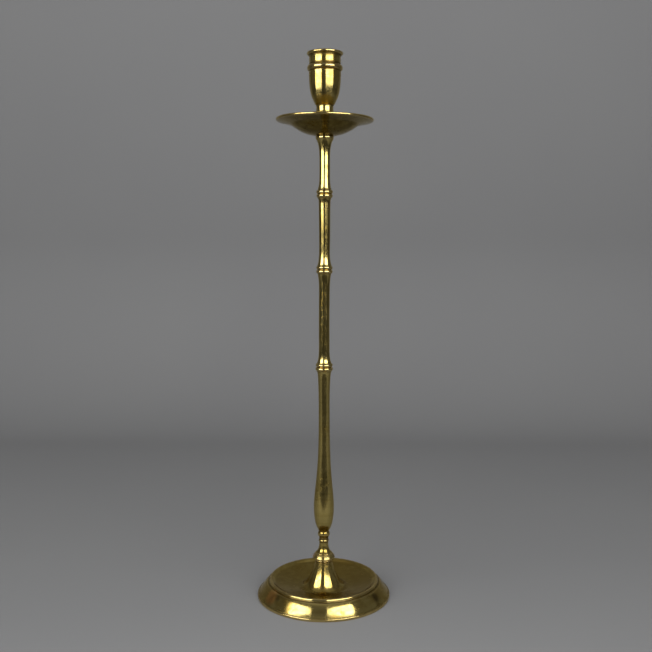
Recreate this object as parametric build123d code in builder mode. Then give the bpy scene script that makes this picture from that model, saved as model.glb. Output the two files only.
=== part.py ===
"""Altar candlestick: a slender turned-brass stick with a weighted base, a stem screwed together
at its knops, a loose drip pan and a candle cup that screws down through the pan.

Millimetres. The origin is the middle of the underside, +Z runs up the stem.
"""
from build123d import *
import os

os.makedirs("parts", exist_ok=True)

# ---- Heights of the joints between pieces ----
TOP = 500.0             # rim of the candle cup
CUP_SEAT = 429.2        # underside of the cup's foot
PAN_SEAT = 427.0        # top of the stem, which carries the drip pan
UPPER_JOINT = 375.1     # groove of the upper knop
MIDDLE_JOINT = 306.6    # groove of the middle knop
LOWER_JOINT = 217.0     # groove of the lower knop
FOOT_SEAT = 40.0        # underside of the baluster's flared foot, on the foot collar
BASE_TOP = 34.8         # flat top of the base's trumpet

# ---- Candle cup ----
SOCKET_R = 11.25        # socket for a candle end of 22 mm
SOCKET_FLOOR = 469.0
SOCKET_MOUTH_R = 12.2
LIP_R = 16.2
BAND_R = 14.1
CUP_BEAD_R = 16.0
CUP_BEAD_Z = 486.2
CUP_FOOT_R = 12.0

# ---- Drip pan ----
PAN_R = 44.0
PAN_BOWL_R = 30.8       # where the bowl turns into the flat flange
PAN_FLOOR_R = 9.5
PAN_WALL = 1.2
PAN_FLANGE = 436.8      # height at which the bowl turns into the flange
PAN_RIM = 441.1         # middle of the rolled rim
RIM_ROLL = 1.1
PAN_HOLE_R = 3.6

# ---- Stem ----
UPPER_SHAFT_R = 4.82
GROOVE_R = 6.3          # bottom of the groove between a knop's two beads
BEAD_REACH = 3.4        # height of one bead of a knop
COLLAR_R = 8.2          # collar at the stem's top
BULB_R = 9.5            # fullest part of the baluster
BULB_Z = 84.0
WAIST_Z = 181.0
SPIGOT_R = 5.0          # spigot under the baluster, inside the foot collar
FOOT_COLLAR_R = 10.6

# ---- Base ----
BASE_R = 62.2
OVOLO_FOOT_R = 61.3
EDGE = 2.6              # height of the foot's thin square edge
INNER_RIM_R = 59.4
STEP_R = 51.7           # crease between the dish's rim and the ovolo
STEP_Z = 13.4
DISH_RIM_R = 49.6       # crest of the dish's rim
DISH_RIM_Z = 16.1
BOWL_R = 24.5           # where the trumpet's flare runs into the dish's straight slope
BOWL_Z = 8.6
BOWL_RISE = 0.2436      # slope of the dish, 13.7 degrees
SKIN = 1.4              # upright thickness of the dish
PAD_THICKNESS = 1.5
PAD_R = 59.0
LOAD_R = 49.0
POCKET_R = 11.0         # pocket in the load for the washer and the nut
POCKET_TOP = 7.4
BOSS_TOP = 10.4         # top of the load's boss inside the trumpet

# ---- Screws: quarter-inch Whitworth studs, 1.27 mm pitch ----
STUD_R = 3.175
THREAD_GAP = 0.05       # running clearance of a stud in its tapped hole
STUD_CHAMFER = 0.5
STUD_REACH = 9.0        # how far a knop's stud goes into each section
CLEAR_HOLE_R = 3.5
THREAD_LENGTH = 12.7    # thread of the cup's stud inside the stem, ten turns
NUT_FLATS = 11.5
NUT_THICKNESS = 4.4
WASHER_THICKNESS = 1.0
WASHER_R = 9.0


def dish_height(radius):
    """Height of the dish's straight slope at a radius."""
    return BOWL_Z + BOWL_RISE * (radius - BOWL_R)


def tapped_hole(mouth, depth, up):
    """A blind tapped hole on the axis, with a drill-point end. up is 1 or -1."""
    radius = STUD_R + THREAD_GAP
    end = mouth + up * depth
    with BuildSketch(Plane.XZ) as drill:
        with BuildLine():
            Polyline((0, mouth), (radius, mouth), (radius, end), (0, end + up * 0.6 * radius), close=True)
        make_face()
    revolve(drill.sketch, axis=Axis.Z, mode=Mode.SUBTRACT)


def knop_end(joint, up, bead_r, corner_r, shaft_r, reach):
    """Outline of a section's end at a knop: the groove, one bead, then a flare into the shaft."""
    corner = joint + up * BEAD_REACH
    Line((0, joint), (GROOVE_R, joint))
    ThreePointArc((GROOVE_R, joint), (bead_r, joint + up * BEAD_REACH / 2), (corner_r, corner))
    Bezier(
        (corner_r, corner),
        (shaft_r + 0.4 * (corner_r - shaft_r), corner + up * 0.15 * reach),
        (shaft_r, corner + up * 0.45 * reach),
        (shaft_r, corner + up * reach),
    )


def write(part, name):
    """Label a finished piece and write it as one STEP file."""
    part.label = name
    export_step(part, f"parts/{name}.step")


# ================= Base =================

with BuildPart() as base_shell:
    with BuildSketch(Plane.XZ):
        with BuildLine():
            # outside: ring at the top, trumpet, dish, dish rim, ovolo and edge bead
            Line((CLEAR_HOLE_R, BASE_TOP), (7.8, BASE_TOP))
            ThreePointArc((7.8, BASE_TOP), (8.8, 33.7), (7.6, 32.6))
            Bezier((7.6, 32.6), (9.6, 24.0), (12.6, 18.2), (15.2, 13.6))
            Bezier((15.2, 13.6), (16.7, 10.95), (19.6, 7.41), (BOWL_R, BOWL_Z))
            Line((BOWL_R, BOWL_Z), (44.0, dish_height(44.0)))
            Bezier((44.0, dish_height(44.0)), (46.5, 14.07), (47.3, 15.3), (DISH_RIM_R, DISH_RIM_Z))
            ThreePointArc((DISH_RIM_R, DISH_RIM_Z), (50.65, 15.6), (51.2, 14.6))
            Line((51.2, 14.6), (STEP_R, STEP_Z))
            Bezier((STEP_R, STEP_Z), (54.2, 13.6), (57.3, 7.0), (OVOLO_FOOT_R, EDGE))
            ThreePointArc((OVOLO_FOOT_R, EDGE), (BASE_R - 0.2, 2.3), (BASE_R, 1.7))
            Line((BASE_R, 1.7), (BASE_R, 0))
            # underside: rim, inside of the ovolo, slope over the load, inside of the trumpet
            Line((BASE_R, 0), (INNER_RIM_R, 0))
            Line((INNER_RIM_R, 0), (INNER_RIM_R, EDGE))
            Bezier((INNER_RIM_R, EDGE), (55.6, 6.2), (53.6, 12.0), (50.6, 12.1))
            Line((50.6, 12.1), (45.0, dish_height(45.0) - SKIN))
            Line((45.0, dish_height(45.0) - SKIN), (BOWL_R, BOWL_Z - SKIN))
            Bezier((BOWL_R, BOWL_Z - SKIN), (19.3, 5.93), (15.2, 10.2), (13.8, 12.7))
            Bezier((13.8, 12.7), (10.9, 17.1), (7.7, 22.8), (5.6, 31.3))
            Line((5.6, 31.3), (CLEAR_HOLE_R, 31.3))
            Line((CLEAR_HOLE_R, 31.3), (CLEAR_HOLE_R, BASE_TOP))
        make_face()
    revolve(axis=Axis.Z)
write(base_shell.part, "base_shell")

# cast to the dish's underside, with a boss up inside the trumpet
with BuildPart() as load_disc:
    with BuildSketch(Plane.XZ):
        with BuildLine():
            Polyline(
                (CLEAR_HOLE_R, POCKET_TOP), (CLEAR_HOLE_R, BOSS_TOP), (12.2, BOSS_TOP), (16.0, 7.4),
                (19.5, 6.2), (BOWL_R, BOWL_Z - SKIN), (44.0, dish_height(44.0) - SKIN), (48.0, 10.9),
                (LOAD_R, 9.9), (LOAD_R, PAD_THICKNESS + 1.0), (LOAD_R - 1.0, PAD_THICKNESS),
                (POCKET_R, PAD_THICKNESS), (POCKET_R, POCKET_TOP), close=True,
            )
        make_face()
    revolve(axis=Axis.Z)
write(load_disc.part, "load_disc")

with BuildPart() as base_washer:
    with BuildSketch(Plane.XY.offset(POCKET_TOP - WASHER_THICKNESS)):
        Circle(WASHER_R)
        Circle(CLEAR_HOLE_R, mode=Mode.SUBTRACT)
    extrude(amount=WASHER_THICKNESS)
write(base_washer.part, "base_washer")

NUT_TOP = POCKET_TOP - WASHER_THICKNESS
with BuildPart() as base_nut:
    with BuildSketch(Plane.XY.offset(NUT_TOP - NUT_THICKNESS)):
        RegularPolygon(NUT_FLATS / 2, 6, major_radius=False)
    extrude(amount=NUT_THICKNESS)
    # the turned cone that takes the corners off both faces
    with BuildSketch(Plane.XZ):
        with BuildLine():
            nut_r = NUT_FLATS / 2
            low, high = NUT_TOP - NUT_THICKNESS, NUT_TOP
            Polyline(
                (0, low), (nut_r, low), (nut_r + 1.2, low + 0.7),
                (nut_r + 1.2, high - 0.7), (nut_r, high), (0, high), close=True,
            )
        make_face()
    revolve(axis=Axis.Z, mode=Mode.INTERSECT)
    with BuildSketch(Plane.XY.offset(low)):
        Circle(STUD_R + THREAD_GAP)
    extrude(amount=NUT_THICKNESS, mode=Mode.SUBTRACT)
write(base_nut.part, "base_nut")

with BuildPart() as baize_pad:
    with BuildSketch(Plane.XY):
        Circle(PAD_R)
    extrude(amount=PAD_THICKNESS)
write(baize_pad.part, "baize_pad")

# ================= Stem =================

# The ring that the stem's foot is tightened down on
with BuildPart() as foot_collar:
    with BuildSketch(Plane.XZ):
        with BuildLine():
            bore = SPIGOT_R + THREAD_GAP
            Line((bore, FOOT_SEAT), (7.8, FOOT_SEAT))
            ThreePointArc((7.8, FOOT_SEAT), (9.55, 38.4), (FOOT_COLLAR_R, 36.4))
            ThreePointArc((FOOT_COLLAR_R, 36.4), (10.45, 35.5), (9.4, BASE_TOP))
            Line((9.4, BASE_TOP), (bore, BASE_TOP))
            Line((bore, BASE_TOP), (bore, FOOT_SEAT))
        make_face()
    revolve(axis=Axis.Z)
write(foot_collar.part, "foot_collar")

with BuildPart() as baluster:
    with BuildSketch(Plane.XZ):
        with BuildLine():
            # lower half of the knop, then the long swelling down to the bulb
            corner = LOWER_JOINT - BEAD_REACH
            Line((0, LOWER_JOINT), (GROOVE_R, LOWER_JOINT))
            ThreePointArc((GROOVE_R, LOWER_JOINT), (8.1, LOWER_JOINT - BEAD_REACH / 2), (7.2, corner))
            Spline((7.2, corner), (6.05, 209.9), (5.6, 203.5), (5.13, WAIST_Z), tangents=((-0.7, -1), (0, -1)))
            Spline(
                (5.13, WAIST_Z), (5.62, 138.7), (7.45, 110.0), (BULB_R, BULB_Z),
                tangents=((0, -1), (0, -1)),
            )
            Spline((BULB_R, BULB_Z), (8.75, 73.7), (6.95, 66.2), (4.75, 61.3), tangents=((0, -1), (-0.4, -1)))
            # ball, neck and small ring
            ThreePointArc((4.75, 61.3), (5.6, 58.4), (4.4, 55.6))
            Line((4.4, 55.6), (4.25, 53.4))
            ThreePointArc((4.25, 53.4), (4.85, 52.3), (4.25, 51.2))
            # flared foot and spigot
            Line((4.25, 51.2), (4.2, 49.8))
            Bezier((4.2, 49.8), (4.3, 45.0), (5.4, 42.4), (7.8, 40.6))
            Polyline((7.8, 40.6), (7.8, FOOT_SEAT), (SPIGOT_R, FOOT_SEAT), (SPIGOT_R, BASE_TOP), (0, BASE_TOP))
            Line((0, BASE_TOP), (0, LOWER_JOINT))
        make_face()
    revolve(axis=Axis.Z)
    tapped_hole(LOWER_JOINT, STUD_REACH + 1, -1)
    tapped_hole(BASE_TOP, 12.0, 1)
write(baluster.part, "baluster")

# Plain sections: name, joints below and above, bead radii, shaft radii and lengths of the flares
PLAIN_SECTIONS = [
    ("third_stem", (LOWER_JOINT, MIDDLE_JOINT), (7.9, 7.5), (4.95, 4.95), (13.0, 18.0)),
    ("second_stem", (MIDDLE_JOINT, UPPER_JOINT), (7.5, 7.4), (4.97, 5.3), (13.0, 6.0)),
]
for section_name, joints, beads, shafts, flares in PLAIN_SECTIONS:
    with BuildPart() as section:
        with BuildSketch(Plane.XZ):
            with BuildLine():
                knop_end(joints[0], 1, beads[0], 6.8, shafts[0], flares[0])
                knop_end(joints[1], -1, beads[1], 6.4, shafts[1], flares[1])
                # the shaft between the flares
                Line(
                    (shafts[0], joints[0] + BEAD_REACH + flares[0]),
                    (shafts[1], joints[1] - BEAD_REACH - flares[1]),
                )
                Line((0, joints[0]), (0, joints[1]))
            make_face()
        revolve(axis=Axis.Z)
        tapped_hole(joints[0], STUD_REACH + 1, 1)
        tapped_hole(joints[1], STUD_REACH + 1, -1)
    write(section.part, section_name)

with BuildPart() as upper_stem:
    with BuildSketch(Plane.XZ):
        with BuildLine():
            knop_end(UPPER_JOINT, 1, 7.5, 6.5, UPPER_SHAFT_R, 13.0)
            Line((UPPER_SHAFT_R, UPPER_JOINT + BEAD_REACH + 13.0), (UPPER_SHAFT_R, 406.0))
            Bezier((UPPER_SHAFT_R, 406.0), (UPPER_SHAFT_R, 415.0), (5.5, 419.5), (7.6, 423.4))
            ThreePointArc((7.6, 423.4), (COLLAR_R, 425.4), (7.5, PAN_SEAT))
            Line((7.5, PAN_SEAT), (0, PAN_SEAT))
            Line((0, PAN_SEAT), (0, UPPER_JOINT))
        make_face()
    revolve(axis=Axis.Z)
    tapped_hole(UPPER_JOINT, STUD_REACH + 1, 1)
    tapped_hole(PAN_SEAT, THREAD_LENGTH + 1, -1)
write(upper_stem.part, "upper_stem")

# ================= Studs that screw the pieces together =================

STUDS = {
    "base_stud": (NUT_TOP - NUT_THICKNESS, BASE_TOP + 11.0),
    "lower_knop_stud": (LOWER_JOINT - STUD_REACH, LOWER_JOINT + STUD_REACH),
    "middle_knop_stud": (MIDDLE_JOINT - STUD_REACH, MIDDLE_JOINT + STUD_REACH),
    "upper_knop_stud": (UPPER_JOINT - STUD_REACH, UPPER_JOINT + STUD_REACH),
    "cup_stud": (PAN_SEAT - THREAD_LENGTH, CUP_SEAT + 13.0),
}
for stud_name, (stud_low, stud_high) in STUDS.items():
    with BuildPart() as stud:
        with BuildSketch(Plane.XY.offset(stud_low)):
            Circle(STUD_R)
        extrude(amount=stud_high - stud_low)
        chamfer(stud.edges().filter_by(GeomType.CIRCLE), length=STUD_CHAMFER)
    write(stud.part, stud_name)

# ================= Drip pan and candle cup =================

with BuildPart() as drip_pan:
    with BuildSketch(Plane.XZ):
        with BuildLine():
            # underside: floor, bowl and flange out to the rolled rim
            Line((PAN_HOLE_R, PAN_SEAT), (PAN_FLOOR_R, PAN_SEAT))
            ThreePointArc((PAN_FLOOR_R, PAN_SEAT), (22.2, 431.0), (PAN_BOWL_R, PAN_FLANGE))
            Line((PAN_BOWL_R, PAN_FLANGE), (PAN_R - RIM_ROLL, PAN_RIM - RIM_ROLL))
            ThreePointArc(
                (PAN_R - RIM_ROLL, PAN_RIM - RIM_ROLL), (PAN_R, PAN_RIM), (PAN_R - RIM_ROLL, PAN_RIM + RIM_ROLL),
            )
            # inside: rim, flange, bowl and floor
            ThreePointArc(
                (PAN_R - RIM_ROLL, PAN_RIM + RIM_ROLL), (42.3, PAN_RIM + 0.8), (41.7, PAN_RIM + 0.1),
            )
            Line((41.7, PAN_RIM + 0.1), (PAN_BOWL_R - 0.5, PAN_FLANGE + PAN_WALL))
            ThreePointArc(
                (PAN_BOWL_R - 0.5, PAN_FLANGE + PAN_WALL), (21.4, 432.3), (PAN_FLOOR_R, PAN_SEAT + PAN_WALL),
            )
            Line((PAN_FLOOR_R, PAN_SEAT + PAN_WALL), (PAN_HOLE_R, PAN_SEAT + PAN_WALL))
            Line((PAN_HOLE_R, PAN_SEAT + PAN_WALL), (PAN_HOLE_R, PAN_SEAT))
        make_face()
    revolve(axis=Axis.Z)
write(drip_pan.part, "drip_pan")

with BuildPart() as cup_washer:
    with BuildSketch(Plane.XY.offset(PAN_SEAT + PAN_WALL)):
        Circle(WASHER_R)
        Circle(PAN_HOLE_R, mode=Mode.SUBTRACT)
    extrude(amount=CUP_SEAT - PAN_SEAT - PAN_WALL)
write(cup_washer.part, "cup_washer")

with BuildPart() as candle_cup:
    with BuildSketch(Plane.XZ):
        with BuildLine():
            # foot in the pan, then the neck
            Line((0, CUP_SEAT), (CUP_FOOT_R - 0.6, CUP_SEAT))
            ThreePointArc((CUP_FOOT_R - 0.6, CUP_SEAT), (CUP_FOOT_R, 430.6), (CUP_FOOT_R - 0.8, 432.0))
            Bezier((CUP_FOOT_R - 0.8, 432.0), (7.4, 433.5), (6.6, 438.0), (7.8, 442.0))
            ThreePointArc((7.8, 442.0), (9.6, 444.0), (8.4, 446.4))
            Bezier((8.4, 446.4), (7.7, 448.2), (7.4, 450.5), (7.8, 453.4))
            # body, bead, band and lip
            Line((7.8, 453.4), (8.9, 454.6))
            Spline(
                (8.9, 454.6), (11.9, 461.2), (13.4, 467.4), (14.35, 483.6),
                tangents=((0.45, 1), (0, 1)),
            )
            ThreePointArc((14.35, 483.6), (CUP_BEAD_R, CUP_BEAD_Z), (14.5, 488.6))
            Line((14.5, 488.6), (BAND_R, 489.0))
            Line((BAND_R, 489.0), (BAND_R, 495.6))
            Bezier((BAND_R, 495.6), (14.3, 497.0), (15.0, 497.6), (15.7, 497.8))
            ThreePointArc((15.7, 497.8), (LIP_R, 498.8), (15.2, TOP))
            # mouth and socket
            Line((15.2, TOP), (SOCKET_MOUTH_R, TOP))
            ThreePointArc((SOCKET_MOUTH_R, TOP), (11.5, 499.7), (SOCKET_R, TOP - 1.0))
            Line((SOCKET_R, TOP - 1.0), (SOCKET_R, SOCKET_FLOOR))
            Line((SOCKET_R, SOCKET_FLOOR), (0, SOCKET_FLOOR))
            Line((0, SOCKET_FLOOR), (0, CUP_SEAT))
        make_face()
    revolve(axis=Axis.Z)
    tapped_hole(CUP_SEAT, 14.0, 1)
write(candle_cup.part, "candle_cup")
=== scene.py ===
"""Altar candlestick of turned brass: detailed pieces, materials, studio and camera around the CAD frame.

Outlines are in millimetres, as radius and height above the seat of their piece, and are turned about the
z axis. Objects are in metres.
"""

import math

import bmesh
import bpy
import numpy as np
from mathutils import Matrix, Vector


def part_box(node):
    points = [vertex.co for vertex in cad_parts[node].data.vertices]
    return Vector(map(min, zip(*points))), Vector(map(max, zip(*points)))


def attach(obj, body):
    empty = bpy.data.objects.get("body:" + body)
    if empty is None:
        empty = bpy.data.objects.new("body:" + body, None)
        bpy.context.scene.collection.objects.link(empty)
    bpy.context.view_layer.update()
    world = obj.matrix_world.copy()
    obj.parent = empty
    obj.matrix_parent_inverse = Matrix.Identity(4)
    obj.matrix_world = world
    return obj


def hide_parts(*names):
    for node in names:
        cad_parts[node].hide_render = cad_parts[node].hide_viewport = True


MM = 0.001                 # one millimetre in metres
TINY = 1e-6                # a length or radius below this counts as nothing
TURNS = 160                # facets round a slim turned piece
WIDE_TURNS = 224           # facets round the base, the foot collar, the drip pan and the cup
LINE_STEP = 3.0            # longest straight step of an outline, in millimetres
CURVE_STEP = 0.45          # usual step along a curve, in millimetres
CURVE_TURN = math.radians(9)     # largest turn in one step of a curve
FEWEST_STEPS = 4           # in one curve
MOST_STEPS = 46
CREASE_REACH = 1.6         # how far along the outline a crease is felt, in millimetres
EDGE_ROUND = 0.22          # how far a turned edge is eased, in millimetres
EDGE_SHARE = 0.42          # the most that easing takes of a step beside the edge
EDGE_TURN = math.radians(20)     # an outline corner sharper than this gets eased
SHARP_ANGLE = math.radians(42)   # an edge sharper than this isn't shaded smooth
STUD_R = 3.15              # crest of the cup stud's thread, in millimetres like the rest here
STUD_ROOT_R = 2.45
STUD_PITCH = 1.27
BORE_R = 3.3               # the tapped holes
BORE_DEPTH = 10.5          # of those at the knops
PAN_HOLE_R = 3.62
COLLAR_HIGH = 5.2          # the foot collar, and the spigot of the stem in it
SOCKET_R = 11.25           # the candle's hole
SOCKET_FLOOR = 39.8
JOINT_R = 6.3              # the waist of a knop, where two stem sections meet
BEAD_UP = 1.7              # from the joint to the fullest place of a knop's bead
CORNER_UP = 3.4            # from the joint to the corner between bead and flare

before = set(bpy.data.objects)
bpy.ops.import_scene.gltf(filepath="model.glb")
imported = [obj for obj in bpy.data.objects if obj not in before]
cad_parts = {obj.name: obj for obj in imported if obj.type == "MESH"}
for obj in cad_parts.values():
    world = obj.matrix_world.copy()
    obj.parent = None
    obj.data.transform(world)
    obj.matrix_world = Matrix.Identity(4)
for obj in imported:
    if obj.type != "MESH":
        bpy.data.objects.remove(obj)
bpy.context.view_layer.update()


def seat(node):
    """Height of the underside of a CAD node, in millimetres."""
    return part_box(node)[0].z / MM


def top(node):
    """Height of the top of a CAD node, in millimetres."""
    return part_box(node)[1].z / MM


# ---------------------------------------------------------------- outlines


class Outline:
    """A closed outline of radius and height, in millimetres, made stretch by stretch."""

    def __init__(self, r, z):
        self.points = [np.array((r, z), float)]

    def line(self, *ends):
        """Straight stretches to each end in turn."""
        for end in ends:
            start = self.points[-1]
            end = np.array(end, float)
            steps = max(1, math.ceil(np.linalg.norm(end - start) / LINE_STEP))
            for i in range(1, steps + 1):
                self.points.append(start + (end - start) * (i / steps))
        return self

    def follow(self, path, length, turn):
        """Samples path(t) for t from 0 to 1, finely enough for its length and its turn in radians."""
        steps = max(FEWEST_STEPS, math.ceil(length / CURVE_STEP), math.ceil(turn / CURVE_TURN))
        steps = min(steps, MOST_STEPS)
        for i in range(1, steps + 1):
            self.points.append(path(i / steps))
        return self

    def arc(self, middle, end):
        """A round stretch through middle to end."""
        a = self.points[-1]
        b = np.array(middle, float)
        c = np.array(end, float)
        centre = circle_centre(a, b, c)
        radius = np.linalg.norm(a - centre)
        first, second, third = (math.atan2(*(p - centre)[::-1]) for p in (a, b, c))
        sweep = (third - first) % math.tau
        if (second - first) % math.tau > sweep:
            sweep -= math.tau

        def path(t):
            angle = first + sweep * t
            return centre + radius * np.array((math.cos(angle), math.sin(angle)))

        return self.follow(path, radius * abs(sweep), abs(sweep))

    def curve(self, leave, arrive, end):
        """A Bezier stretch with two handles."""
        a = self.points[-1]
        b, c, d = (np.array(p, float) for p in (leave, arrive, end))

        def path(t):
            s = 1 - t
            return s ** 3 * a + 3 * s * s * t * b + 3 * s * t * t * c + t ** 3 * d

        likely_length, likely_turn = np.linalg.norm(d - a) * 1.1, 2.0
        return self.follow(path, likely_length, likely_turn)

    def spline(self, *ends, leave, arrive):
        """A smooth stretch through each end in turn, with unit directions at its two ends."""
        knots = [self.points[-1]] + [np.array(p, float) for p in ends]
        slopes = spline_slopes(knots, leave, arrive)
        for i in range(len(knots) - 1):
            a, d = knots[i], knots[i + 1]
            third = np.linalg.norm(d - a) / 3
            self.curve(a + slopes[i] * third, d - slopes[i + 1] * third, d)
        return self


def circle_centre(a, b, c):
    """Centre of the circle through three points."""
    rows = 2 * np.array((b - a, c - a))
    return np.linalg.solve(rows, np.array((b @ b - a @ a, c @ c - a @ a)))


def spline_slopes(knots, leave, arrive):
    """Slopes at the knots of the smooth curve that bends least, for steps as long as their chords."""
    count = len(knots)
    steps = [np.linalg.norm(knots[i + 1] - knots[i]) for i in range(count - 1)]
    rows = np.eye(count)
    sides = np.zeros((count, 2))
    sides[0] = np.array(leave) / np.linalg.norm(leave)
    sides[-1] = np.array(arrive) / np.linalg.norm(arrive)
    for i in range(1, count - 1):
        before, after = steps[i - 1], steps[i]
        rows[i, i - 1:i + 2] = after, 2 * (before + after), before
        rise = after / before * (knots[i] - knots[i - 1]) + before / after * (knots[i + 1] - knots[i])
        sides[i] = 3 * rise
    return np.linalg.solve(rows, sides)


def eased(points, reach):
    """The closed outline with each sharp corner turned into a small round of four points."""
    made = []
    count = len(points)
    for i, here in enumerate(points):
        before = points[i - 1] - here
        after = points[(i + 1) % count] - here
        long_before, long_after = np.linalg.norm(before), np.linalg.norm(after)
        if min(long_before, long_after) < TINY:
            continue
        bend = math.pi - math.acos(np.clip(before @ after / (long_before * long_after), -1, 1))
        if bend < EDGE_TURN or here[0] < TINY:
            made.append(here)
            continue
        start = here + before * min(reach / long_before, EDGE_SHARE)
        end = here + after * min(reach / long_after, EDGE_SHARE)
        for t in (0, 1 / 3, 2 / 3, 1):
            made.append((1 - t) ** 2 * start + 2 * t * (1 - t) * here + t * t * end)
    return made


def hollows(points):
    """How far each outline point lies inside the smoothed outline, in millimetres: above 0 in a crease."""
    loop = np.array(points)
    steps = np.linalg.norm(np.roll(loop, -1, 0) - loop, axis=1)
    along = np.concatenate(((0,), np.cumsum(steps)))
    ring = along[-1]
    closed = np.vstack((loop, loop[:1]))
    area = np.sum(loop[:, 0] * np.roll(loop[:, 1], -1) - np.roll(loop[:, 0], -1) * loop[:, 1])
    offsets = np.linspace(-CREASE_REACH, CREASE_REACH, 17)
    smooth = np.zeros_like(loop)
    for offset in offsets:
        at = (along[:-1] + offset) % ring
        smooth += np.stack([np.interp(at, along, closed[:, k]) for k in (0, 1)], 1)
    smooth /= len(offsets)
    ahead = np.roll(loop, -1, 0) - np.roll(loop, 1, 0)
    outward = np.stack((ahead[:, 1], -ahead[:, 0]), 1) * np.sign(area)
    outward /= np.maximum(np.linalg.norm(outward, axis=1), TINY)[:, None]
    return np.sum((smooth - loop) * outward, axis=1)


# ---------------------------------------------------------------- turned pieces


def turned(name, outline, low, turns=TURNS, ease=EDGE_ROUND, warp=None):
    """A solid of revolution. low is the height of the outline's zero; warp moves its points a little."""
    points = eased(outline.points[:-1], ease)
    crease = hollows(points)
    loop = np.array(points)
    loop[:, 1] += low
    angles = np.arange(turns) * math.tau / turns
    ring_start, coords, marks = [], [], []
    for (r, z), hollow in zip(loop, crease):
        ring_start.append(len(coords))
        if r < TINY:
            coords.append((0.0, 0.0, z))
            marks.append(hollow)
            continue
        coords.extend((r * math.sin(a), -r * math.cos(a), z) for a in angles)
        marks.extend([hollow] * turns)
    coords = np.array(coords)
    if warp is not None:
        coords = warp(coords)
    mesh = bpy.data.meshes.new(name)
    mesh.from_pydata((coords * MM).tolist(), [], ring_faces(loop, ring_start, turns))
    return finished(name, mesh, marks)


def ring_faces(loop, ring_start, turns):
    """Faces between the rings of neighbouring outline points, with fans where one is on the axis."""
    faces = []
    count = len(loop)
    for i in range(count):
        j = (i + 1) % count
        here, there = ring_start[i], ring_start[j]
        here_axis, there_axis = loop[i, 0] < TINY, loop[j, 0] < TINY
        if here_axis and there_axis:
            continue
        for k in range(turns):
            n = (k + 1) % turns
            if here_axis:
                faces.append((here, there + k, there + n))
            elif there_axis:
                faces.append((here + k, there, here + n))
            else:
                faces.append((here + k, there + k, there + n, here + n))
    return faces


def finished(name, mesh, marks):
    """Smooth shading, outward faces, and the crease of each point kept for the material."""
    grid = bmesh.new()
    grid.from_mesh(mesh)
    bmesh.ops.recalc_face_normals(grid, faces=grid.faces)
    grid.to_mesh(mesh)
    grid.free()
    mesh.shade_smooth()
    mesh.set_sharp_from_angle(angle=SHARP_ANGLE)
    crease = mesh.attributes.new("crease", "FLOAT", "POINT")
    crease.data.foreach_set("value", np.array(marks, np.float32))
    piece = bpy.data.objects.new(name, mesh)
    bpy.context.scene.collection.objects.link(piece)
    return piece


def bump_at(coords, centre, size, depth):
    """Moves points near centre towards the axis by depth, fading over size, in millimetres."""
    centre = np.array(centre)
    near = np.exp(-np.sum((coords - centre) ** 2, axis=1) / (size * size))
    radius = np.maximum(np.hypot(coords[:, 0], coords[:, 1]), TINY)
    inward = (depth * near / radius)[:, None] * coords[:, :2]
    coords[:, :2] -= inward
    return coords


def round_place(radius, azimuth, z):
    """A point at a radius and azimuth in degrees, where 0 faces -Y and 90 faces +X."""
    a = math.radians(azimuth)
    return radius * math.sin(a), -radius * math.cos(a), z


# ---------------------------------------------------------------- the pieces' outlines


def base_outline():
    """The spun base: ring, trumpet, dish, rolled rim, ovolo and square edge, with its inner skin."""
    outline = Outline(3.5, 34.8)
    outline.line((7.8, 34.8)).arc((8.8, 33.7), (7.6, 32.6))
    outline.curve((9.6, 24.0), (12.6, 18.2), (15.2, 13.6))
    outline.curve((16.7, 10.95), (19.6, 7.41), (24.5, 8.6)).line((44.0, 13.35))
    outline.curve((46.5, 14.07), (47.3, 15.3), (49.6, 16.1))
    outline.arc((50.65, 15.6), (51.2, 14.6)).line((51.7, 13.4))
    outline.curve((54.2, 13.6), (57.3, 7.0), (61.3, 2.6)).arc((62.0, 2.3), (62.2, 1.7))
    outline.line((62.2, 0.0), (59.4, 0.0), (59.4, 2.6))
    outline.curve((55.6, 6.2), (53.6, 12.0), (50.6, 12.1)).line((45.0, 12.2), (24.5, 7.2))
    outline.curve((19.3, 5.93), (15.2, 10.2), (13.8, 12.7))
    outline.curve((10.9, 17.1), (7.7, 22.8), (5.6, 31.3))
    outline.line((3.5, 31.3), (3.5, 34.8))
    return outline


def collar_outline():
    """The ring between the base and the stem's flared foot."""
    outline = Outline(5.05, 0.0)
    outline.line((5.05, COLLAR_HIGH), (7.8, COLLAR_HIGH)).arc((9.55, 3.6), (10.6, 1.6))
    outline.arc((10.45, 0.7), (9.4, 0.0)).line((5.05, 0.0))
    return outline


def baluster_outline(low, high):
    """The lowest stem section: half a knop, swelling shaft, bulb, ball, small ring, foot and spigot."""
    joint = high - low
    hole_end = joint - BORE_DEPTH
    outline = Outline(0.0, hole_end)
    outline.line((BORE_R, hole_end), (BORE_R, joint), (JOINT_R, joint))
    outline.arc((8.1, joint - BEAD_UP), (7.2, joint - CORNER_UP))
    outline.spline((6.05, joint - 7.1), (5.6, joint - 13.5), (5.13, joint - 36.0),
                   leave=(-0.7, -1), arrive=(0, -1))
    outline.spline((5.62, 103.9), (7.45, 75.2), (9.5, 49.2), leave=(0, -1), arrive=(0, -1))
    outline.spline((8.75, 38.9), (6.95, 31.4), (4.75, 26.5), leave=(0, -1), arrive=(-0.4, -1))
    outline.arc((5.6, 23.6), (4.4, 20.8)).line((4.25, 18.6)).arc((4.85, 17.5), (4.25, 16.4))
    outline.line((4.2, 15.0)).curve((4.3, 10.2), (5.4, 7.6), (7.8, 5.8))
    outline.line((7.8, COLLAR_HIGH), (5.0, COLLAR_HIGH), (5.0, 0.0))
    outline.line((BORE_R, 0.0), (BORE_R, 12.5), (0.0, 12.5), (0.0, hole_end))
    return outline


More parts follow.
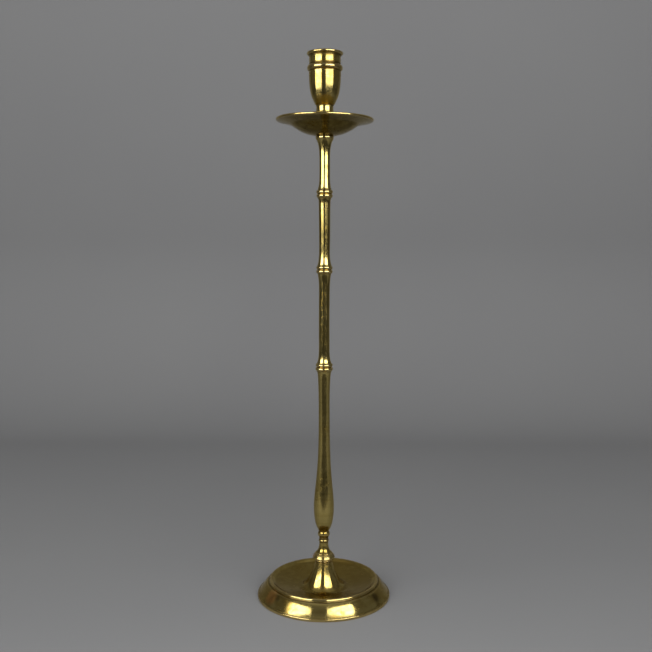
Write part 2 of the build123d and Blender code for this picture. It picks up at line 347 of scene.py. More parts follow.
def flare_places(joint, up, corner_r, shaft_r, reach):
    """Ends and handles of a flare, from the corner at the bead to the shaft."""
    return (
        (corner_r, joint + CORNER_UP * up),
        (shaft_r + 0.4 * (corner_r - shaft_r), joint + (CORNER_UP + 0.15 * reach) * up),
        (shaft_r, joint + (CORNER_UP + 0.45 * reach) * up),
        (shaft_r, joint + (CORNER_UP + reach) * up),
    )


def knop_rise(outline, joint, up, bead_r, corner_r, shaft_r, reach):
    """From a joint round its bead and along the flare to the shaft; up is 1 above the joint, -1 below."""
    corner, near, far, shaft = flare_places(joint, up, corner_r, shaft_r, reach)
    outline.arc((bead_r, joint + BEAD_UP * up), corner).curve(near, far, shaft)


def knop_fall(outline, joint, up, bead_r, corner_r, shaft_r, reach):
    """The same stretch as knop_rise, from the shaft to the joint."""
    corner, near, far, shaft = flare_places(joint, up, corner_r, shaft_r, reach)
    outline.line(shaft).curve(far, near, corner)
    outline.arc((bead_r, joint + BEAD_UP * up), (JOINT_R, joint))


def plain_section_outline(length, lower, upper):
    """A stem section between two knops. lower and upper are (bead, corner, shaft, reach) at each end."""
    outline = Outline(0.0, BORE_DEPTH)
    outline.line((BORE_R, BORE_DEPTH), (BORE_R, 0.0), (JOINT_R, 0.0))
    knop_rise(outline, 0.0, 1, *lower)
    knop_fall(outline, length, -1, *upper)
    hole_end = length - BORE_DEPTH
    outline.line((BORE_R, length), (BORE_R, hole_end), (0.0, hole_end), (0.0, BORE_DEPTH))
    return outline


def upper_stem_outline(length):
    """The top stem section, which flares into a small round cushion under the drip pan."""
    outline = Outline(0.0, BORE_DEPTH)
    outline.line((BORE_R, BORE_DEPTH), (BORE_R, 0.0), (JOINT_R, 0.0))
    knop_rise(outline, 0.0, 1, 7.5, 6.5, 4.82, 13.0)
    outline.line((4.82, length - 21.0))
    outline.curve((4.82, length - 12.0), (5.5, length - 7.5), (7.6, length - 3.6))
    outline.arc((8.2, length - 1.6), (7.5, length))
    hole_end = length - 14.0
    outline.line((BORE_R, length), (BORE_R, hole_end), (0.0, hole_end), (0.0, BORE_DEPTH))
    return outline


def pan_outline():
    """The spun drip pan, about 1.2 mm thick: seat, shallow bowl, soft bend, wide lip and rolled rim."""
    outline = Outline(PAN_HOLE_R, 0.0)
    outline.line((9.5, 0.0)).arc((20.5, 3.19), (28.9, 8.23))
    outline.curve((30.0, 9.08), (31.2, 9.91), (33.0, 10.38)).line((42.9, 13.0))
    outline.arc((44.0, 14.1), (42.9, 15.2)).arc((42.3, 14.9), (41.7, 14.2)).line((32.4, 11.59))
    outline.curve((30.8, 11.14), (29.8, 10.58), (28.6, 9.69))
    outline.arc((20.5, 4.86), (9.5, 1.2)).line((PAN_HOLE_R, 1.2), (PAN_HOLE_R, 0.0))
    return outline


def cup_outline(height):
    """The candle cup: foot, waist, ring, neck, tapered body, bead, band and lip, with its socket."""
    outline = Outline(BORE_R, 0.0)
    outline.line((11.4, 0.0)).arc((12.0, 1.4), (11.2, 2.8))
    outline.curve((7.4, 4.3), (6.6, 8.8), (7.8, 12.8)).arc((9.6, 14.8), (8.4, 17.2))
    outline.curve((7.7, 19.0), (7.4, 21.3), (7.8, 24.2)).line((8.9, 25.4))
    outline.spline((11.9, 32.0), (13.4, 38.2), (14.35, 54.4), leave=(0.45, 1), arrive=(0, 1))
    outline.arc((16.0, 57.0), (14.5, 59.4)).line((14.1, 59.8), (14.1, 66.4))
    outline.curve((14.3, 67.8), (15.0, 68.4), (15.7, 68.6)).arc((16.2, 69.6), (15.2, height))
    outline.line((12.2, height)).arc((11.5, height - 0.3), (SOCKET_R, height - 1.0))
    outline.line((SOCKET_R, SOCKET_FLOOR), (0.0, SOCKET_FLOOR))
    outline.line((0.0, 13.5), (BORE_R, 13.5), (BORE_R, 0.0))
    return outline


def washer_outline():
    """The leather washer, slightly squeezed out at its edge."""
    outline = Outline(3.7, 0.12)
    outline.arc((3.85, 0.02), (4.1, 0.0)).line((8.4, 0.0)).arc((8.95, 0.5), (8.4, 1.0))
    outline.line((4.1, 1.0)).arc((3.85, 0.98), (3.7, 0.88)).line((3.7, 0.12))
    return outline


def felt_disc(name, radius, low, high):
    """A felt disc with a soft rounded edge and an uneven pile, as one closed mesh."""
    rings, spokes, edge, room = 46, 180, 0.5, 0.12    # room is left for the pile above and below
    rng = np.random.default_rng(11)
    pile = rng.normal(0.0, 0.045, (2, rings + 1, spokes))
    loop = []
    for side, lift in ((0, -1), (1, 1)):
        steps = range(rings + 1) if side == 0 else range(rings, -1, -1)
        for i in steps:
            r = radius * math.sin(math.pi / 2 * i / rings)
            rim = max(0.0, (r - (radius - edge)) / edge)
            half = (high - low) / 2 * math.sqrt(max(0.04, 1 - rim * rim))
            loop.append((r, (low + high) / 2 + lift * (half - room), side, i))
    coords, ring_start = [], []
    for r, z, side, i in loop:
        ring_start.append(len(coords))
        if r < TINY:
            coords.append((0.0, 0.0, z))
            continue
        for k in range(spokes):
            a = k * math.tau / spokes
            reach = min(r + 0.4 * pile[side, i, k] * (i / rings), radius)
            height = min(max(z + pile[side, i, k], low), high)
            coords.append((reach * math.sin(a), -reach * math.cos(a), height))
    mesh = bpy.data.meshes.new(name)
    faces = ring_faces(np.array([(r, z) for r, z, _, _ in loop]), ring_start, spokes)
    mesh.from_pydata((np.array(coords) * MM).tolist(), [], faces)
    return finished(name, mesh, [0.0] * len(coords))


def threaded_stud(name, low, high):
    """A steel stud with a real helical thread and a chamfered start at each end."""
    turns, per_pitch, chamfer, blunt = 48, 10, 1.2, 0.25
    count = int((high - low) / STUD_PITCH * per_pitch)
    heights = np.linspace(low, high, count + 1)
    angles = np.arange(turns) * math.tau / turns
    coords = [(0.0, 0.0, low)]
    for z in heights:
        phase = (z / STUD_PITCH - angles / math.tau) % 1.0
        flank = np.clip(abs(phase - 0.5) * 2.6 - 0.15, 0, 1)
        end_room = min(z - low, high - z)
        limit = STUD_ROOT_R - blunt + min(end_room, chamfer) / chamfer * (STUD_R - STUD_ROOT_R + blunt)
        radius = np.minimum(STUD_ROOT_R + (STUD_R - STUD_ROOT_R) * flank, limit)
        coords.extend(zip(radius * np.sin(angles), -radius * np.cos(angles), [z] * turns))
    coords.append((0.0, 0.0, high))
    loop = np.array([(0.0, low)] + [(1.0, z) for z in heights] + [(0.0, high)])
    ring_start = [0] + [1 + i * turns for i in range(count + 1)] + [len(coords) - 1]
    mesh = bpy.data.meshes.new(name)
    mesh.from_pydata((np.array(coords) * MM).tolist(), [], ring_faces(loop, ring_start, turns))
    return finished(name, mesh, [0.0] * len(coords))


# ---------------------------------------------------------------- wear in the shapes


def dented_base(coords):
    """A few shallow knocks in the ovolo, and a dish that is not quite true."""
    knocks = ((-128, 8.0, 5.0, 0.22), (96, 6.5, 4.0, 0.18), (164, 9.0, 6.0, 0.25), (21, 3.4, 2.2, 0.08))
    ovolo_r, dish_r, dish_spread = 57.5, 34.0, 9.0
    for azimuth, z, size, depth in knocks:
        coords = bump_at(coords, round_place(ovolo_r, azimuth, z), size, depth)
    angle = np.arctan2(coords[:, 0], -coords[:, 1])
    radius = np.hypot(coords[:, 0], coords[:, 1])
    dish = np.exp(-((radius - dish_r) / dish_spread) ** 2) * (coords[:, 2] > 9.0) * (coords[:, 2] < 16.0)
    coords[:, 2] -= dish * (0.10 + 0.08 * np.sin(2 * angle + 0.8) + 0.05 * np.sin(5 * angle))
    return coords


def chewed_collar(coords):
    """Plier bites on the two flanks of the collar."""
    rng = np.random.default_rng(5)
    for flank in (-86.0, 84.0):
        for _ in range(9):
            azimuth = flank + rng.uniform(-24, 24)
            place = round_place(10.2, azimuth, collar_seat + rng.uniform(0.4, 4.4))
            coords = bump_at(coords, place, rng.uniform(0.5, 1.1), rng.uniform(0.2, 0.55))
    return coords


def leaning(low, high, sway):
    """A warp that lets a stem section wander off its axis by up to sway between heights low and high."""

    def warp(coords):
        along = np.clip((coords[:, 2] - low) / (high - low), 0, 1)
        drift = sway * np.sin(math.pi * along) ** 2
        coords[:, 0] += drift
        coords[:, 1] += 0.6 * drift * np.sin(2 * math.pi * along)
        return coords

    return warp


def drooping_pan(coords):
    """The lip of the pan sags a little on its right and its bowl is not quite true."""
    radius = np.hypot(coords[:, 0], coords[:, 1])
    out = np.clip((radius - 12.0) / 31.0, 0, 1) ** 2
    angle = np.arctan2(coords[:, 0], -coords[:, 1])
    coords[:, 2] -= out * (0.30 + 0.34 * np.sin(angle) + 0.05 * np.sin(3 * angle + 1.0))
    return coords


def knocked_cup(coords):
    """Two soft knocks in the bowl and one on the lip."""
    coords = bump_at(coords, round_place(13.6, 150, cup_seat + 48.0), 4.5, 0.16)
    coords = bump_at(coords, round_place(14.4, -118, cup_seat + 56.0), 3.5, 0.14)
    return bump_at(coords, round_place(15.9, 112, cup_seat + 69.6), 2.6, 0.16)


def uneven_washer(coords):
    """Leather that was cut by hand: its edge wanders."""
    angle = np.arctan2(coords[:, 0], -coords[:, 1])
    radius = np.hypot(coords[:, 0], coords[:, 1])
    out = np.clip((radius - 6.0) / 3.0, 0, 1)
    shrink = 1 - out * (0.012 + 0.008 * np.sin(3 * angle) + 0.006 * np.sin(7 * angle + 1))
    coords[:, :2] *= shrink[:, None]
    return coords


# ---------------------------------------------------------------- materials


class Shading:
    """A shorthand for one material's nodes."""

    def __init__(self, name):
        self.material = bpy.data.materials.new(name)
        self.material.use_nodes = True
        self.tree = self.material.node_tree
        self.shader = self.tree.nodes["Principled BSDF"]
        self.place = self.tree.nodes.new("ShaderNodeTexCoord").outputs["Object"]

    def put(self, target, value):
        """Links a socket or sets a plain value on target."""
        if isinstance(value, bpy.types.NodeSocket):
            self.tree.links.new(value, target)
        elif value is not None:
            target.default_value = value

    def math(self, operation, a, b=None, clamp=False):
        """One arithmetic step."""
        node = self.tree.nodes.new("ShaderNodeMath")
        node.operation = operation
        node.use_clamp = clamp
        self.put(node.inputs[0], a)
        self.put(node.inputs[1], b)
        return node.outputs[0]

    def vector(self, operation, a, b):
        """One vector step."""
        node = self.tree.nodes.new("ShaderNodeVectorMath")
        node.operation = operation
        self.put(node.inputs[0], a)
        self.put(node.inputs[1], b)
        return node.outputs["Value"] if operation == "DISTANCE" else node.outputs["Vector"]

    def noise(self, scale, detail=3.0, rough=0.5, where=None, twist=0.0):
        """A noise pattern; scale is in features per metre."""
        node = self.tree.nodes.new("ShaderNodeTexNoise")
        self.put(node.inputs["Vector"], where or self.place)
        node.inputs["Scale"].default_value = scale
        node.inputs["Detail"].default_value = detail
        node.inputs["Roughness"].default_value = rough
        node.inputs["Distortion"].default_value = twist
        return node.outputs["Fac"]

    def cells(self, scale):
        """Distance to the nearest of scattered points; scale is in points per metre."""
        node = self.tree.nodes.new("ShaderNodeTexVoronoi")
        self.put(node.inputs["Vector"], self.place)
        node.inputs["Scale"].default_value = scale
        return node.outputs["Distance"]

    def span(self, value, low, high, out_low=0.0, out_high=1.0):
        """Maps value from low..high to out_low..out_high with a soft start and end."""
        node = self.tree.nodes.new("ShaderNodeMapRange")
        node.interpolation_type = "SMOOTHSTEP"
        self.put(node.inputs["Value"], value)
        ends = {"From Min": low, "From Max": high, "To Min": out_low, "To Max": out_high}
        for socket, number in ends.items():
            node.inputs[socket].default_value = number
        return node.outputs["Result"]

    def blend(self, share, a, b):
        """Colour a turning into colour b as share goes from 0 to 1."""
        node = self.tree.nodes.new("ShaderNodeMix")
        node.data_type = "RGBA"
        self.put(node.inputs[0], share)
        for socket, value in ((node.inputs[6], a), (node.inputs[7], b)):
            self.put(socket, (*value, 1.0) if isinstance(value, tuple) else value)
        return node.outputs[2]

    def crease(self):
        """How deep a point lies in a crease of its outline, in millimetres; edges are below 0."""
        node = self.tree.nodes.new("ShaderNodeAttribute")
        node.attribute_name = "crease"
        return node.outputs["Fac"]

    def round_the_axis(self, stretch):
        """Coordinates that are almost the same all round a turned piece, so that noise makes rings."""
        parts = self.tree.nodes.new("ShaderNodeSeparateXYZ")
        self.put(parts.inputs[0], self.place)
        radius = self.math("SQRT", self.math("ADD", self.math("POWER", parts.outputs[0], 2.0),
                                             self.math("POWER", parts.outputs[1], 2.0)))
        joined = self.tree.nodes.new("ShaderNodeCombineXYZ")
        self.put(joined.inputs[0], radius)
        self.put(joined.inputs[2], parts.outputs[2])
        wander = self.vector("SCALE", self.place, None)
        wander.node.inputs["Scale"].default_value = stretch
        return self.vector("ADD", joined.outputs[0], wander)

    def spot(self, azimuth, radius, z, size):
        """1 at a place on the surface, fading raggedly to 0 at about size, which is in millimetres."""
        place = tuple(v * MM for v in round_place(radius, azimuth, z))
        away = self.vector("DISTANCE", self.place, place)
        ragged = self.math("MULTIPLY_ADD", self.noise(420.0, 4.0, 0.6), 0.5 * size * MM)
        ragged.node.inputs[2].default_value = -0.25 * size * MM
        return self.span(self.math("ADD", away, ragged), size * MM, 0.35 * size * MM)

    def relief(self, *layers):
        """Bump layers, each a pattern and its height in millimetres, into the normal."""
        normal = None
        for pattern, height in layers:
            node = self.tree.nodes.new("ShaderNodeBump")
            node.inputs["Strength"].default_value = 1.0
            node.inputs["Distance"].default_value = height * MM
            self.put(node.inputs["Height"], pattern)
            self.put(node.inputs["Normal"], normal)
            normal = node.outputs["Normal"]
        self.put(self.shader.inputs["Normal"], normal)

    def turned_tangent(self):
        """Lays the tangent round z; the shader turns it a quarter, so highlights smear across the rings."""
        node = self.tree.nodes.new("ShaderNodeTangent")
        node.direction_type = "RADIAL"
        node.axis = "Z"
        self.put(self.shader.inputs["Tangent"], node.outputs["Tangent"])

    def upward(self, low, high):
        """0 to 1 as the surface turns from low to high: 1 faces up, 0 is upright and -1 faces down."""
        node = self.tree.nodes.new("ShaderNodeTexCoord")
        parts = self.tree.nodes.new("ShaderNodeSeparateXYZ")
        self.put(parts.inputs[0], node.outputs["Normal"])
        return self.span(parts.outputs[2], low, high)


POLISHED = (0.53, 0.415, 0.140)
OLIVE = (0.40, 0.295, 0.060)
BROWN = (0.31, 0.190, 0.055)
GRIME = (0.08, 0.045, 0.014)
RUBBED = (0.68, 0.520, 0.220)
COPPER = (0.86, 0.440, 0.120)
# unpolished brass, darkened further as painted shade on faces that look up
UNPOLISHED_AND_SHADED = (0.25, 0.168, 0.034)
# tarnished brass, darkened further as painted shade on faces that look down
TARNISHED_AND_SHADED = (0.125, 0.083, 0.016)
PINKISH = (0.75, 0.50, 0.42)
GREYED = (0.30, 0.24, 0.18)


def brass(name, seed, olive=0.5, brown=0.25, soft=0.15, rings=1.0, dirty=0.85, dull_and_shade=(), stains=()):
    """Turned brass, polished long ago: olive and brown patina, dirt in the creases, edges rubbed bright.

    soft is the roughness of the cleanest metal and rings scales the turning marks. dull_and_shade lists
    (low, high, tint, strength) for faces darkened by how far they look up: unpolished patina, and painted
    shade for their dark reflections. stains lists (tint, azimuth, radius, height, size, strength).
    """
    s = Shading(name)
    crease = s.crease()
    shifted = s.vector("ADD", s.place, (seed * 0.37, seed * 0.11, seed * 0.23))
    broad = s.noise(26.0, 3.0, 0.55, shifted, 0.6)
    mottle = s.noise(230.0, 6.0, 0.68, shifted, 0.4)
    fine = s.noise(1500.0, 4.0, 0.6, shifted)
    turning = s.noise(1100.0, 3.0, 0.7, s.round_the_axis(0.012))
    groove = s.noise(360.0, 2.0, 0.5, s.round_the_axis(0.006))
    cloud = s.math("ADD", s.math("MULTIPLY", broad, 0.62), s.math("MULTIPLY", mottle, 0.38))
    colour = s.blend(s.span(cloud, 0.62 - 0.34 * olive, 0.74 - 0.22 * olive), POLISHED, OLIVE)
    colour = s.blend(s.math("MULTIPLY", s.span(groove, 0.45, 0.70), 0.35), colour, OLIVE)
    speckled = s.math("ADD", cloud, s.math("MULTIPLY", fine, 0.12))
    tarnish = s.math("MULTIPLY", s.span(speckled, 0.50, 0.66), brown)
    colour = s.blend(tarnish, colour, BROWN)
    # painted shade, beside real unpolished patina: faces darken by how far they look up or down
    for low, high, tint, strength in dull_and_shade:
        facing_shade = s.upward(low, high)
        patches = s.span(mottle, 0.30, 0.62, 0.62 * strength, strength)
        colour = s.blend(s.math("MULTIPLY", facing_shade, patches), colour, tint)
    for tint, azimuth, radius, z, size, strength in stains:
        colour = s.blend(s.math("MULTIPLY", s.spot(azimuth, radius, z, size), strength), colour, tint)
    dirt = s.math("MULTIPLY", s.span(crease, 0.02, 0.22), s.span(mottle, 0.25, 0.6, 0.55, 1.0))
    colour = s.blend(s.math("MULTIPLY", dirt, dirty), colour, GRIME)
    rubbed = s.math("MULTIPLY", s.span(crease, -0.03, -0.20), s.span(mottle, 0.30, 0.65, 0.9, 0.35))
    colour = s.blend(rubbed, colour, RUBBED)
    specks = s.math("MULTIPLY", s.span(s.cells(340.0), 0.16, 0.07), s.span(mottle, 0.52, 0.66))
    colour = s.blend(s.math("MULTIPLY", specks, 0.7), colour, GRIME)
    s.put(s.shader.inputs["Base Color"], colour)
    s.shader.inputs["Metallic"].default_value = 1.0
    s.shader.inputs["Specular Tint"].default_value = (1.0, 0.94, 0.76, 1.0)
    s.shader.inputs["Anisotropic"].default_value = 0.8
    s.shader.inputs["Anisotropic Rotation"].default_value = 0.25
    s.turned_tangent()
    rough = s.math("ADD", soft, s.math("MULTIPLY", s.span(mottle, 0.40, 0.75), 0.10))
    rough = s.math("ADD", rough, s.math("MULTIPLY", s.math("MAXIMUM", dirt, specks), 0.30))
    rough = s.math("ADD", rough, s.math("MULTIPLY", tarnish, 0.12))
    s.put(s.shader.inputs["Roughness"], rough)
    pits = s.span(s.cells(150.0), 0.0, 0.2)
    s.relief((turning, 0.010 * rings), (groove, 0.020 * rings), (fine, 0.004), (pits, 0.006))
    return s.material


def steel(name, tone, rust):
    """Plain machined steel, dulled, with a little rust in patches."""
    s = Shading(name)
    patches = s.span(s.noise(160.0, 5.0, 0.7), 0.62 - 0.2 * rust, 0.72)
    fine = s.noise(1800.0, 3.0)
    colour = s.blend(s.span(s.noise(420.0), 0.35, 0.7), tone, tuple(0.72 * v for v in tone))
    rusty = s.math("MULTIPLY", patches, 0.6)
    s.put(s.shader.inputs["Base Color"], s.blend(rusty, colour, (0.16, 0.07, 0.03)))
    s.shader.inputs["Metallic"].default_value = 1.0
    rough = s.math("ADD", s.math("MULTIPLY", patches, 0.3), s.span(fine, 0.3, 0.7, 0.28, 0.42))
    s.put(s.shader.inputs["Roughness"], rough)
    s.relief((fine, 0.010), (s.noise(300.0, 5.0, 0.7), 0.02))
    return s.material


def cast_iron(name):
    """Grey iron as it came from the sand, with a grainy skin."""
    s = Shading(name)
    grain = s.noise(900.0, 6.0, 0.75)
    lumps = s.noise(180.0, 4.0, 0.6)
    colour = s.blend(s.span(grain, 0.35, 0.7), (0.035, 0.033, 0.032), (0.095, 0.090, 0.085))
    rusty = s.math("MULTIPLY", s.span(lumps, 0.58, 0.7), 0.5)
    s.put(s.shader.inputs["Base Color"], s.blend(rusty, colour, (0.12, 0.055, 0.03)))
    s.shader.inputs["Metallic"].default_value = 0.6
    s.put(s.shader.inputs["Roughness"], s.span(grain, 0.2, 0.8, 0.55, 0.85))
    s.relief((grain, 0.12), (lumps, 0.2))
    return s.material


def baize(name):
    """Green felted baize with matted fibres and a little dust."""
    s = Shading(name)
    fibres = s.noise(2600.0, 5.0, 0.7, None, 2.5)
    matting = s.noise(320.0, 4.0, 0.6, None, 1.2)
    colour = s.blend(s.span(fibres, 0.3, 0.7), (0.016, 0.060, 0.030), (0.055, 0.165, 0.085))
    colour = s.blend(s.math("MULTIPLY", s.span(matting, 0.5, 0.72), 0.5), colour, (0.110, 0.150, 0.090))
    s.put(s.shader.inputs["Base Color"], colour)
    s.put(s.shader.inputs["Roughness"], s.span(matting, 0.2, 0.8, 0.85, 1.0))
    s.shader.inputs["Sheen Weight"].default_value = 0.5
    s.shader.inputs["Sheen Roughness"].default_value = 0.45
    s.relief((fibres, 0.16), (matting, 0.2))
    return s.material


def leather(name):
    """Brown waxed leather with a pebbled grain, worn lighter in places."""
    s = Shading(name)
    pebbles = s.cells(1100.0)
    wear = s.noise(260.0, 5.0, 0.65)
    colour = s.blend(s.span(wear, 0.35, 0.7), (0.115, 0.058, 0.028), (0.215, 0.120, 0.062))
    colour = s.blend(s.span(pebbles, 0.30, 0.05, 0.0, 0.5), colour, (0.05, 0.026, 0.014))
    s.put(s.shader.inputs["Base Color"], colour)
    s.put(s.shader.inputs["Roughness"], s.span(wear, 0.3, 0.7, 0.42, 0.66))
    s.relief((pebbles, 0.05), (wear, 0.06))
    return s.material


# ---------------------------------------------------------------- the candlestick

collar_seat = seat("foot_collar")
cup_seat = seat("candle_cup")
lower_joint = seat("third_stem")
middle_joint = seat("second_stem")
upper_joint = seat("upper_stem")

base_brass = brass(
    "base_brass", 1.0, olive=0.55, brown=0.5, soft=0.11, rings=0.45,
    # the dish, facing up, is darker: unpolished patina and painted shade
    dull_and_shade=((0.80, 0.95, UNPOLISHED_AND_SHADED, 0.95),),
    stains=(
        (COPPER, -58.0, 56.0, 9.0, 9.5, 0.85),
        (GRIME, -49.0, 55.0, 10.0, 4.0, 0.4),
        (GRIME, 57.0, 56.0, 9.5, 6.0, 0.6),
    ),
)
stem_brass = brass("stem_brass", 2.0, olive=0.45, brown=0.25, soft=0.10, rings=0.6)
pan_brass = brass(
    "pan_brass", 3.0, olive=0.6, brown=0.4, soft=0.16, rings=0.4, dirty=0.35,
    # the underside, facing down, is darker: tarnish and painted shade
    dull_and_shade=((-0.15, -0.45, TARNISHED_AND_SHADED, 0.95),),
)
cup_brass = brass("cup_brass", 4.0, olive=0.4, brown=0.3, soft=0.14)
collar_brass = brass(
    "collar_brass", 5.0, olive=0.4, brown=0.5, soft=0.24,
    stains=(
        (PINKISH, -86.0, 10.0, collar_seat + 2.2, 5.0, 0.8),
        (GREYED, 84.0, 10.0, collar_seat + 2.2, 5.0, 0.8),
    ),
)
steel_grey = steel("machined_steel", (0.46, 0.44, 0.42), 0.4)
iron_black = cast_iron("cast_iron")
baize_green = baize("baize")
leather_brown = leather("washer_leather")

TURNED = (
    # name, node, body, slot, material, outline, facets, warp
    ("base_shell_spun", "base_shell", "stem", "base_brass", base_brass,
     base_outline(), WIDE_TURNS, dented_base),
    ("foot_collar_turned", "foot_collar", "stem", "stem_brass", collar_brass,
     collar_outline(), WIDE_TURNS, chewed_collar),
    ("baluster_turned", "baluster", "stem", "stem_brass", stem_brass,
     baluster_outline(seat("baluster"), lower_joint), TURNS, leaning(90.0, 205.0, 0.18)),
    ("third_stem_turned", "third_stem", "stem", "stem_brass", stem_brass,
     plain_section_outline(middle_joint - lower_joint, (7.9, 6.8, 4.95, 13.0), (7.5, 6.4, 4.95, 18.0)),
     TURNS, leaning(lower_joint + 12, middle_joint - 12, -0.12)),
    ("second_stem_turned", "second_stem", "stem", "stem_brass", stem_brass,
     plain_section_outline(upper_joint - middle_joint, (7.5, 6.8, 4.97, 13.0), (7.4, 6.4, 5.3, 6.0)),
     TURNS, leaning(middle_joint + 12, upper_joint - 12, 0.10)),
    ("upper_stem_turned", "upper_stem", "stem", "stem_brass", stem_brass,
     upper_stem_outline(seat("drip_pan") - upper_joint),
     TURNS, leaning(upper_joint + 10, upper_joint + 40, 0.06)),
    ("drip_pan_spun", "drip_pan", "pan", "pan_brass", pan_brass,
     pan_outline(), WIDE_TURNS, drooping_pan),
    ("cup_washer_cut", "cup_washer", "washer", "washer_leather", leather_brown,
     washer_outline(), TURNS, uneven_washer),
    ("candle_cup_turned", "candle_cup", "cup", "cup_brass", cup_brass,
     cup_outline(top("candle_cup") - cup_seat), WIDE_TURNS, knocked_cup),
)


def dress(piece, node, body, slot, material):
    """Gives a piece its material and ties it to the frame in place of its CAD node."""
    piece.data.materials.append(material)
    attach(piece, body)
    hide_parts(node)
    return piece


for name, node, body, slot_name, material, outline, facets, warp in TURNED:
    piece = turned(name, outline, seat(node), facets, warp=warp)
    dress(piece, node, body, slot_name, material)

stud = threaded_stud("cup_stud_threaded", seat("cup_stud"), top("cup_stud"))
dress(stud, "cup_stud", "cup", "steel", steel_grey)

FELT_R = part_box("baize_pad")[1].x / MM
felt = felt_disc("baize_felt", FELT_R, seat("baize_pad"), top("baize_pad"))
dress(felt, "baize_pad", "stem", "baize", baize_green)

knop_studs = [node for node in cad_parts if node.endswith("knop_stud")]
for node, slot_name, material in (
    ("load_disc", "load_iron", iron_black),
    *((hidden, "steel", steel_grey) for hidden in ("base_nut", "base_washer", "base_stud", *knop_studs)),
):
    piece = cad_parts[node]
    piece.data.materials.clear()
    piece.data.materials.append(material)


# ---------------------------------------------------------------- studio

# The sizes of the studio are in metres and its angles in degrees.
FLOOR_FRONT = -1.60        # the front edge of the paper that shows in the brass
# a sheet of painted shade: dark, and shown only in reflections
SHADE_SHEET_TIP = -0.30            # the blunt end of the sheet of painted shade, towards the object
SHADE_SHEET_TIP_HALF = 0.06        # half its width there
SHADE_SHEET_END = -1.60            # its other end, behind the camera
SHADE_SHEET_HALF = 3.00            # half its width there
SHADE_SHEET_LIFT = 0.0004          # how far it lies above the paper
SWEEP_START = 0.60         # where the paper starts to curve up
SWEEP_RADIUS = 0.34
SWEEP_STEPS = 24
PAPER_TOP = 2.4
PAPER_HALF = 2.6           # half the paper's width
APRON_REACH = 14.0         # how far the front part of the paper reaches
ROOM_DARK = (0.055, 0.055, 0.057, 1.0)
ROOM_GREY = (0.13, 0.13, 0.135, 1.0)
ROOM_CEILING = (0.30, 0.30, 0.31, 1.0)
ROOM_SEEN = (0.16, 0.16, 0.165, 1.0)     # what the camera sees past the paper
SENSOR_WIDTH = 36.0        # in millimetres, like the lens
LENS = 46.77
CAMERA_PLACE = (0.0, -0.775, 0.332)
CAMERA_DIP = 5.68          # how far the camera looks down
CAMERA_TWIST = -0.15
CAMERA_SWING = -0.10

SOFTBOXES = (
    # name, azimuth from -Y towards +X, distance, bottom, top, width, radiance
    ("softbox_left", -48.5, 1.0, 0.37, 0.99, 0.865, 6.0),
    ("softbox_right", 34.0, 1.0, 0.45, 1.08, 1.02, 6.0),
)
ROOM_LIGHTS = (
    ("room_left", -50.0, 1.8, 0.24, 2.9, 1.92, 6.0),
    ("room_right", 40.0, 1.8, 0.34, 2.9, 2.43, 6.0),
)
DOWN_LIGHTS = (            # laid flat at their middle height, as deep as top - bottom
    ("front_floor_fill", 0.0, 0.42, 0.10, 0.40, 0.6, 4.5),
    ("overhead_fill", 0.0, 0.2, 1.3, 2.9, 1.6, 3.4),
)


def paper_material():
    """Matt grey seamless paper."""
    s = Shading("studio_paper")
    tone = s.noise(3.0, 3.0, 0.5)
    s.put(s.shader.inputs["Base Color"], s.blend(tone, (0.061, 0.061, 0.062), (0.067, 0.067, 0.067)))
    s.shader.inputs["Roughness"].default_value = 0.75
    s.shader.inputs["Specular IOR Level"].default_value = 0.25
    s.relief((s.noise(900.0, 3.0), 0.03))
    return s.material


def strip(name, rows, material):
    """A wide strip of paper through rows of (y, z), in metres."""
    coords = [(x, y, z) for y, z in rows for x in (-PAPER_HALF, PAPER_HALF)]
    faces = [(2 * i, 2 * i + 1, 2 * i + 3, 2 * i + 2) for i in range(len(rows) - 1)]
    mesh = bpy.data.meshes.new(name)
    mesh.from_pydata(coords, [], faces)
    mesh.shade_smooth()
    mesh.materials.append(material)
    piece = bpy.data.objects.new(name, mesh)
    bpy.context.scene.collection.objects.link(piece)
    return piece


def build_paper():
    """The seamless sweep under and behind the object, and a front part that doesn't show in reflections."""
    material = paper_material()
    rows = [(FLOOR_FRONT, 0.0), (0.0, 0.0), (SWEEP_START, 0.0)]
    for i in range(1, SWEEP_STEPS + 1):
        a = math.pi / 2 * i / SWEEP_STEPS
        rows.append((SWEEP_START + SWEEP_RADIUS * math.sin(a), SWEEP_RADIUS * (1 - math.cos(a))))
    rows.append((SWEEP_START + SWEEP_RADIUS, PAPER_TOP))
    strip("floor_sweep", rows, material)
    apron = strip("floor_front", [(-APRON_REACH, 0.0), (FLOOR_FRONT, 0.0)], material)
    apron.visible_glossy = False


def build_shade_sheet():
    """Painted shade: a dark sheet under the camera that the brass mirrors as a dark wedge and the camera
    doesn't see.
    """
    s = Shading("shade_sheet_dark")
    tone = s.blend(s.noise(40.0), (0.010, 0.010, 0.010), (0.018, 0.017, 0.016))
    s.put(s.shader.inputs["Base Color"], tone)
    s.shader.inputs["Roughness"].default_value = 0.9
    s.shader.inputs["Specular IOR Level"].default_value = 0.1
    # painted shade: only reflections show this dark sheet
    mesh = bpy.data.meshes.new("camera_shade_sheet")
    outline = ((SHADE_SHEET_TIP_HALF, SHADE_SHEET_TIP), (-SHADE_SHEET_TIP_HALF, SHADE_SHEET_TIP), (-SHADE_SHEET_HALF, SHADE_SHEET_END), (SHADE_SHEET_HALF, SHADE_SHEET_END))
    mesh.from_pydata([(x, y, SHADE_SHEET_LIFT) for x, y in outline], [], [(0, 1, 2, 3)])
    mesh.materials.append(s.material)
    shade_sheet = bpy.data.objects.new("camera_shade_sheet", mesh)
    bpy.context.scene.collection.objects.link(shade_sheet)
    shade_sheet.visible_camera = False
    shade_sheet.visible_diffuse = False
    shade_sheet.visible_shadow = False


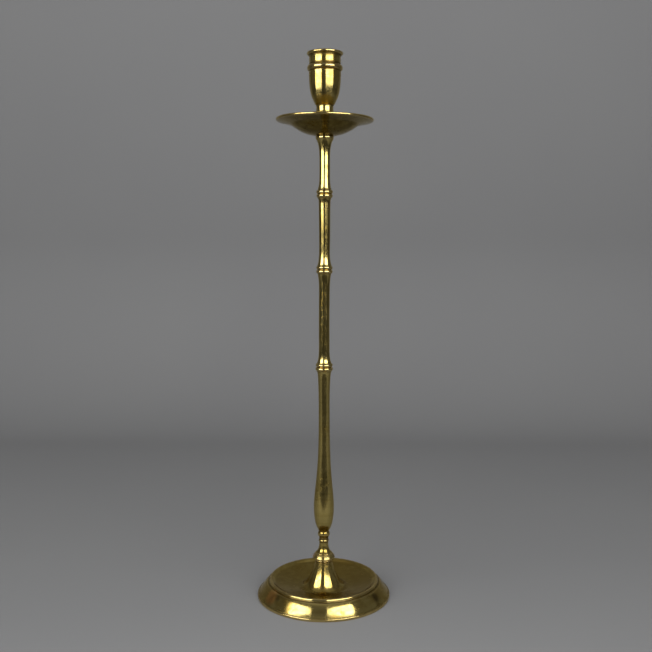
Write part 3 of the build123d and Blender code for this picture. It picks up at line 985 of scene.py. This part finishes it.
def area_light(name, azimuth, distance, low, high, width, radiance, mirrored=True):
    """An upright soft light facing the axis from an azimuth; mirrored says whether the brass shows it."""
    data = bpy.data.lights.new(name, "AREA")
    data.shape = "RECTANGLE"
    data.size = width
    data.size_y = high - low
    data.energy = radiance * math.pi * width * (high - low)
    light = bpy.data.objects.new(name, data)
    a = math.radians(azimuth)
    light.location = (distance * math.sin(a), -distance * math.cos(a), (low + high) / 2)
    light.rotation_euler = (math.pi / 2, 0.0, a)
    light.visible_camera = False
    light.visible_glossy = mirrored
    bpy.context.scene.collection.objects.link(light)
    return light


def build_lights():
    """Two softboxes that the brass mirrors, and lights for the paper's tone that it doesn't."""
    for row in SOFTBOXES:
        area_light(*row)
    for row in ROOM_LIGHTS:
        area_light(*row, mirrored=False)
    for row in DOWN_LIGHTS:
        light = area_light(*row, mirrored=False)
        light.rotation_euler = (0.0, 0.0, 0.0)


def build_world():
    """A dim room: dark below the paper, grey above it, and a lighter ceiling."""
    world = bpy.data.worlds.new("studio_room")
    bpy.context.scene.world = world
    world.use_nodes = True
    tree = world.node_tree
    back = tree.nodes["Background"]
    place = tree.nodes.new("ShaderNodeTexCoord")
    parts = tree.nodes.new("ShaderNodeSeparateXYZ")
    tree.links.new(place.outputs["Generated"], parts.inputs[0])
    ramp = tree.nodes.new("ShaderNodeValToRGB")
    tree.links.new(parts.outputs[2], ramp.inputs[0])
    stops = ramp.color_ramp.elements
    stops[0].position = 0.0
    stops[0].color = ROOM_DARK
    stops[1].position = 0.05
    stops[1].color = ROOM_GREY
    stops.new(0.75).color = ROOM_GREY
    stops.new(0.93).color = ROOM_CEILING
    path = tree.nodes.new("ShaderNodeLightPath")
    seen = tree.nodes.new("ShaderNodeMix")
    seen.data_type = "RGBA"
    tree.links.new(path.outputs["Is Camera Ray"], seen.inputs[0])
    tree.links.new(ramp.outputs[0], seen.inputs[6])
    seen.inputs[7].default_value = ROOM_SEEN
    tree.links.new(seen.outputs[2], back.inputs["Color"])
    back.inputs["Strength"].default_value = 1.0


def build_camera():
    """The photograph's view: from the front, level with two thirds of the height, tilted down a little."""
    data = bpy.data.cameras.new("front_camera")
    data.sensor_width = SENSOR_WIDTH
    data.lens = LENS
    data.dof.use_dof = False
    camera = bpy.data.objects.new("front_camera", data)
    camera.location = CAMERA_PLACE
    camera.rotation_euler = [math.radians(a) for a in (90.0 - CAMERA_DIP, CAMERA_TWIST, CAMERA_SWING)]
    bpy.context.scene.collection.objects.link(camera)
    bpy.context.scene.camera = camera


def build_studio():
    """Everything around the object."""
    build_paper()
    build_shade_sheet()
    build_lights()
    build_world()
    build_camera()
    view = bpy.context.scene.view_settings
    view.view_transform = "Standard"
    view.look = "None"


build_studio()
